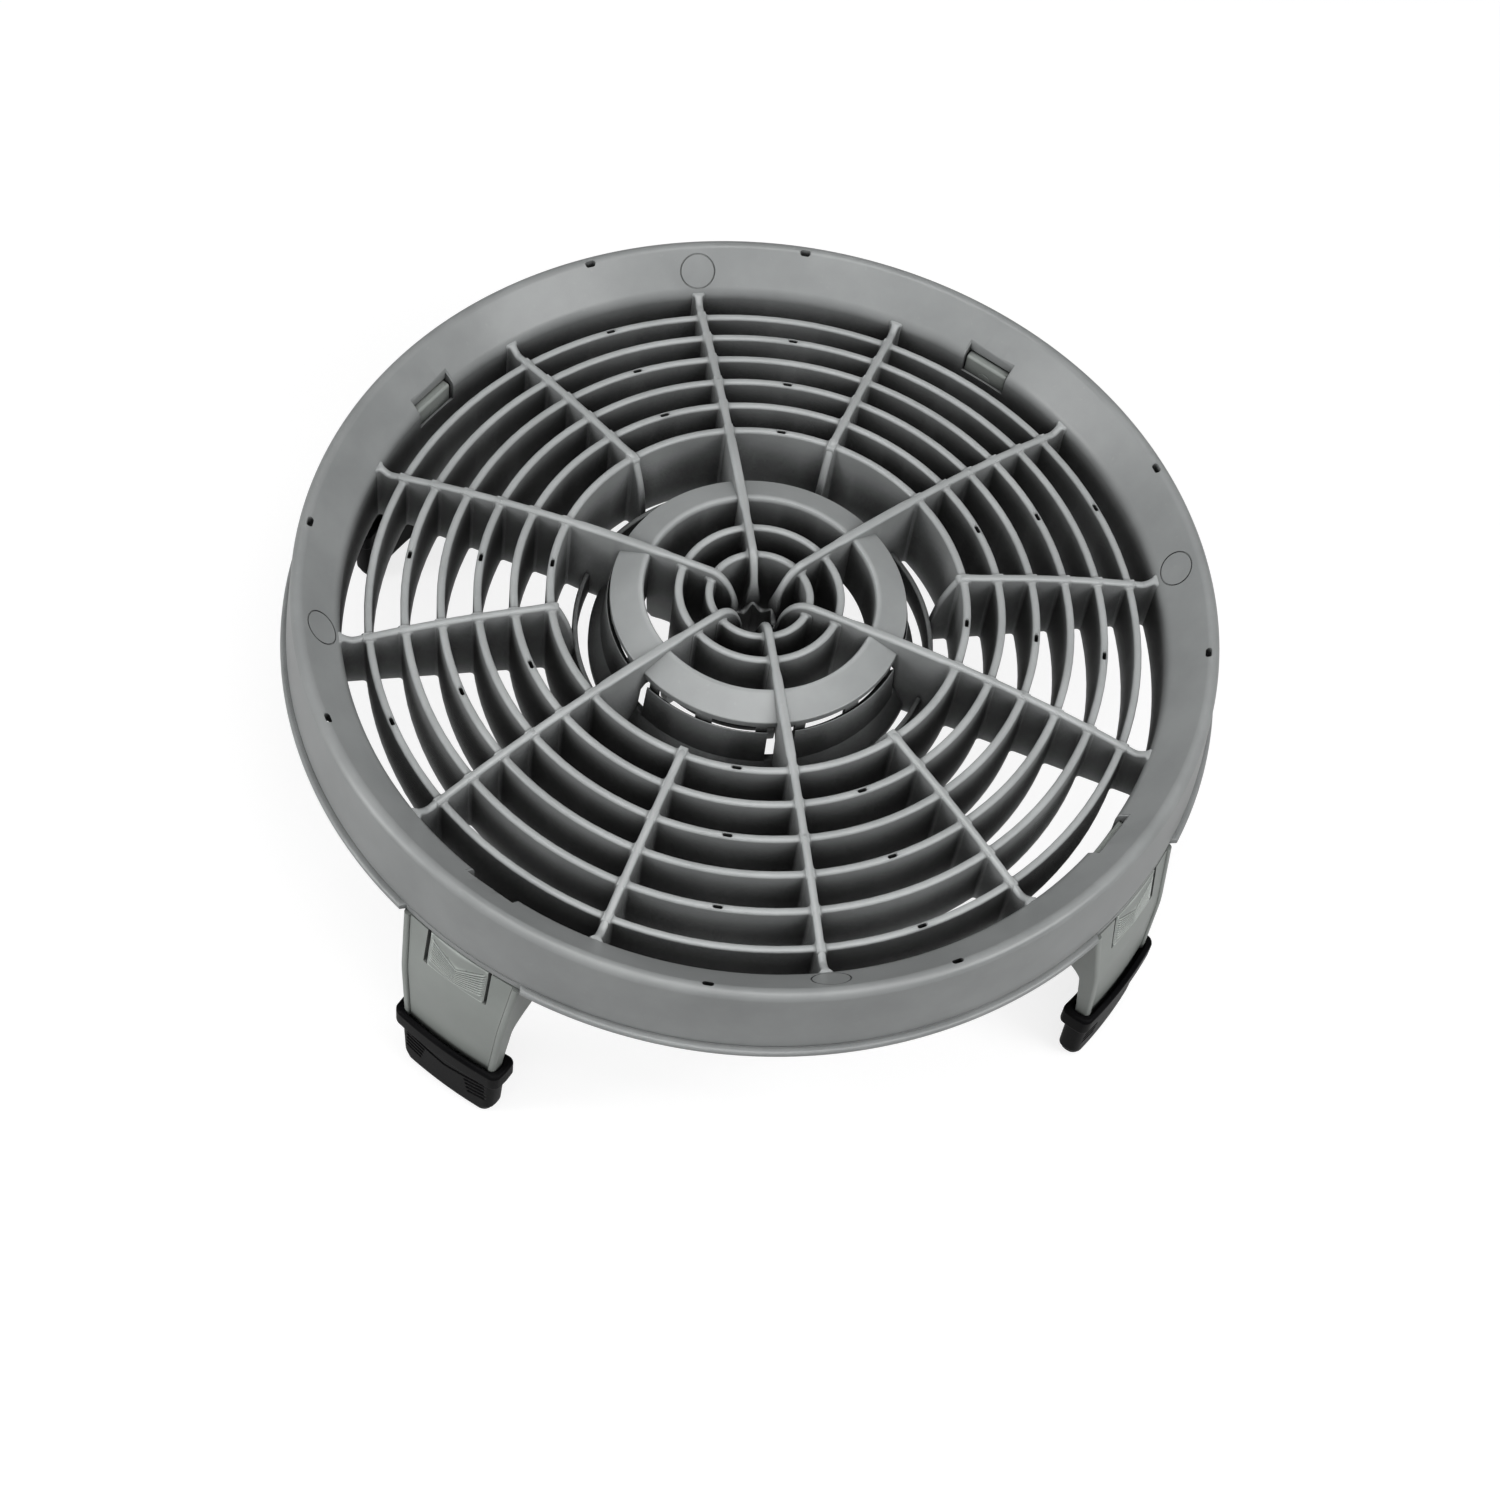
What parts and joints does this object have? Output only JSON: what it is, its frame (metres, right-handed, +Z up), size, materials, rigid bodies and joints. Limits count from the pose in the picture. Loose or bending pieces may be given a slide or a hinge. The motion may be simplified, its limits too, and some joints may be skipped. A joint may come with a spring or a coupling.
{
  "type": "bucket grit guard",
  "caption": "Round slatted bucket grit guard with a funnel rim, a stepped hub, clip-in legs with press-to-release tabs, and rubber shoes.",
  "frame": {"origin": "centre of the floor circle that the shoes stand on", "axes": "+Z up along the guard's axis; +Y runs along one long spoke and one mould mark; legs stand at 45 degrees to X and Y"},
  "size_m": [0.267, 0.267, 0.0975],
  "materials": {
    "grate_plastic": "satin mid-grey injection-moulded plastic with soft highlights on its rounded ribs",
    "leg_plastic": "satin grey plastic, slightly lighter and greener than the grate",
    "shoe_rubber": "soft black moulded rubber with a dull sheen"
  },
  "bodies": {
    "grate": {"rim_skirt": "grate_plastic", "rim_flange": "grate_plastic", "rim_wall": "grate_plastic", "long_spokes": "grate_plastic", "short_spokes": "grate_plastic", "slat_ring_1": "grate_plastic", "slat_ring_2": "grate_plastic", "slat_ring_3": "grate_plastic", "slat_ring_4": "grate_plastic", "slat_ring_5": "grate_plastic", "slat_ring_6": "grate_plastic", "hub_ring_inner": "grate_plastic", "hub_ring_outer": "grate_plastic", "centre_well": "grate_plastic", "shoulder": "grate_plastic", "collar": "grate_plastic", "foot_ring": "grate_plastic", "guard_ring": "grate_plastic"},
    "leg_1": {"leg_1": "leg_plastic"},
    "release_tab_1": {"release_tab_1": "leg_plastic"},
    "shoe_1": {"shoe_1": "shoe_rubber"},
    "leg_2": {"leg_2": "leg_plastic"},
    "release_tab_2": {"release_tab_2": "leg_plastic"},
    "shoe_2": {"shoe_2": "shoe_rubber"},
    "leg_3": {"leg_3": "leg_plastic"},
    "release_tab_3": {"release_tab_3": "leg_plastic"},
    "shoe_3": {"shoe_3": "shoe_rubber"},
    "leg_4": {"leg_4": "leg_plastic"},
    "release_tab_4": {"release_tab_4": "leg_plastic"},
    "shoe_4": {"shoe_4": "shoe_rubber"}
  },
  "joints": [
    {"name": "leg_1_pull", "type": "slide", "parent": "grate", "child": "leg_1", "axis": [0, 0, -1], "range_m": [0, 0.045]},
    {"name": "release_tab_1_press", "type": "hinge", "parent": "leg_1", "child": "release_tab_1", "pos_m": [0.0936, 0.0936, 0.05835], "axis": [0.7071, -0.7071, 0], "range_deg": [0, 4], "stiffness_Nm_per_rad": 0.1},
    {"name": "shoe_1_pull", "type": "slide", "parent": "leg_1", "child": "shoe_1", "axis": [0, 0, -1], "range_m": [0, 0.026]},
    {"name": "leg_2_pull", "type": "slide", "parent": "grate", "child": "leg_2", "axis": [0, 0, -1], "range_m": [0, 0.045]},
    {"name": "release_tab_2_press", "type": "hinge", "parent": "leg_2", "child": "release_tab_2", "pos_m": [-0.0936, 0.0936, 0.05835], "axis": [0.7071, 0.7071, 0], "range_deg": [0, 4], "stiffness_Nm_per_rad": 0.1},
    {"name": "shoe_2_pull", "type": "slide", "parent": "leg_2", "child": "shoe_2", "axis": [0, 0, -1], "range_m": [0, 0.026]},
    {"name": "leg_3_pull", "type": "slide", "parent": "grate", "child": "leg_3", "axis": [0, 0, -1], "range_m": [0, 0.045]},
    {"name": "release_tab_3_press", "type": "hinge", "parent": "leg_3", "child": "release_tab_3", "pos_m": [-0.0936, -0.0936, 0.05835], "axis": [-0.7071, 0.7071, 0], "range_deg": [0, 4], "stiffness_Nm_per_rad": 0.1},
    {"name": "shoe_3_pull", "type": "slide", "parent": "leg_3", "child": "shoe_3", "axis": [0, 0, -1], "range_m": [0, 0.026]},
    {"name": "leg_4_pull", "type": "slide", "parent": "grate", "child": "leg_4", "axis": [0, 0, -1], "range_m": [0, 0.045]},
    {"name": "release_tab_4_press", "type": "hinge", "parent": "leg_4", "child": "release_tab_4", "pos_m": [0.0936, -0.0936, 0.05835], "axis": [-0.7071, -0.7071, 0], "range_deg": [0, 4], "stiffness_Nm_per_rad": 0.1},
    {"name": "shoe_4_pull", "type": "slide", "parent": "leg_4", "child": "shoe_4", "axis": [0, 0, -1], "range_m": [0, 0.026]}
  ]
}
